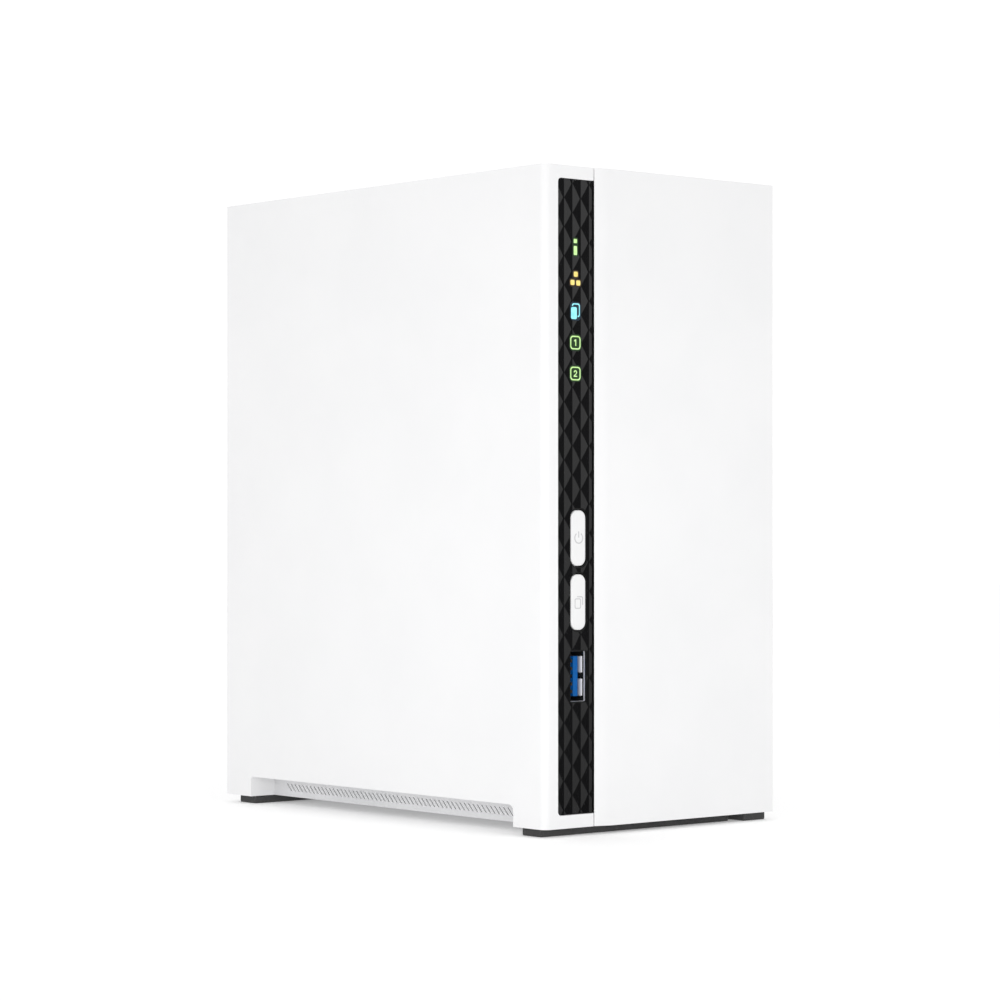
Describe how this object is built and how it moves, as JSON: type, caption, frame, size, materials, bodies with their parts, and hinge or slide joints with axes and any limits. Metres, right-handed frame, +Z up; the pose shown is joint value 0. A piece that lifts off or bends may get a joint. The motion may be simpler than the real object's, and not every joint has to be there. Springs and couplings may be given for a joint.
{
  "type": "network attached storage",
  "caption": "Upright desktop network storage box with a dark faceted status strip, push buttons, a front socket, upright drives, a rear fan and a cover that slides off.",
  "frame": {"origin": "middle of the footprint, on the surface that the feet stand on", "axes": "+X to the right seen from the front, +Y to the rear, +Z up"},
  "size_m": [0.0902, 0.1562, 0.1911],
  "materials": {
    "white_case": "moulded white plastic, fine satin texture",
    "white_button": "moulded white plastic, smooth",
    "grey_plastic": "moulded pale grey plastic",
    "black_gloss": "tinted black plastic with cut facets",
    "green_lens": "tinted lens lit from behind",
    "amber_lens": "tinted lens lit from behind",
    "blue_lens": "tinted lens lit from behind",
    "clear_plastic": "clear acrylic",
    "circuit_board": "solder mask over copper tracks",
    "black_plastic": "moulded black plastic",
    "chip_black": "moulded chip package",
    "capacitor_sleeve": "shrink sleeve",
    "bare_aluminium": "extruded and sawn",
    "cell_steel": "bright steel",
    "zinc_screws": "zinc plated",
    "brass_parts": "turned brass",
    "socket_steel": "folded tinned steel",
    "blue_tongue": "moulded blue plastic",
    "white_tongue": "moulded white plastic",
    "gold_contacts": "gold plated",
    "fan_plastic": "glass-filled black plastic",
    "copper_coil": "wound copper wire",
    "lead_sleeve": "braided sleeve",
    "cage_steel": "galvanised sheet",
    "cast_alloy": "pressure cast alloy",
    "lid_steel": "pressed steel",
    "grey_rubber": "moulded dark grey rubber"
  },
  "bodies": {
    "chassis": {"left_shell": "white_case", "base_tray": "grey_plastic", "rear_panel": "white_case", "status_strip": "black_gloss", "status_lens": "green_lens", "network_lens": "amber_lens", "copy_lens": "blue_lens", "disk_1_lens": "green_lens", "disk_2_lens": "green_lens", "light_guide": "clear_plastic", "front_board": "circuit_board", "front_switches": "black_plastic", "mainboard": "circuit_board", "processor": "chip_black", "heatsink": "bare_aluminium", "memory_chips": "chip_black", "coin_cell": "cell_steel", "buzzer": "black_plastic", "capacitors": "capacitor_sleeve", "board_screws": "zinc_screws", "standoffs": "brass_parts", "front_usb_shell": "socket_steel", "front_usb_tongue": "blue_tongue", "front_usb_contacts": "gold_contacts", "rear_usb_shell": "socket_steel", "rear_usb_tongues": "white_tongue", "network_jack": "socket_steel", "power_jack": "black_plastic", "power_jack_pin": "gold_contacts", "reset_switch": "black_plastic", "fan_frame": "fan_plastic", "fan_stator": "copper_coil", "fan_screws": "zinc_screws", "fan_lead": "lead_sleeve", "cage_side": "cage_steel", "cage_front": "cage_steel", "cage_rear": "cage_steel", "cage_screws": "zinc_screws", "drive_screws": "zinc_screws", "backplane": "circuit_board", "backplane_sockets": "black_plastic", "drive_1_casting": "cast_alloy", "drive_1_lid": "lid_steel", "drive_1_board": "circuit_board", "drive_2_casting": "cast_alloy", "drive_2_lid": "lid_steel", "drive_2_board": "circuit_board", "front_foot_bar": "grey_rubber", "rear_foot_bar": "grey_rubber", "cover_screws": "zinc_screws"},
    "cover": {"cover_shell": "white_case", "right_front_foot": "grey_rubber", "right_rear_foot": "grey_rubber"},
    "power_button": {"power_button": "white_button", "power_plunger": "black_plastic"},
    "copy_button": {"copy_button": "white_button", "copy_plunger": "black_plastic"},
    "reset_pin": {"reset_plunger": "black_plastic"},
    "fan_rotor": {"fan_rotor": "fan_plastic", "fan_shaft": "cell_steel"}
  },
  "joints": [
    {"name": "cover_slide", "type": "slide", "parent": "chassis", "child": "cover", "axis": [0, -1, 0], "range_m": [0, 0.165]},
    {"name": "power_press", "type": "slide", "parent": "chassis", "child": "power_button", "axis": [0, 1, 0], "range_m": [0, 0.0008], "stiffness_N_per_m": 900, "springref_m": -0.0002},
    {"name": "copy_press", "type": "slide", "parent": "chassis", "child": "copy_button", "axis": [0, 1, 0], "range_m": [0, 0.0008], "stiffness_N_per_m": 900, "springref_m": -0.0002},
    {"name": "reset_press", "type": "slide", "parent": "chassis", "child": "reset_pin", "axis": [0, -1, 0], "range_m": [0, 0.0003], "stiffness_N_per_m": 1500, "springref_m": -0.0002},
    {"name": "fan_spin", "type": "hinge", "parent": "chassis", "child": "fan_rotor", "pos_m": [0.005, 0.06813, 0.112], "axis": [0, 1, 0], "continuous": true}
  ]
}
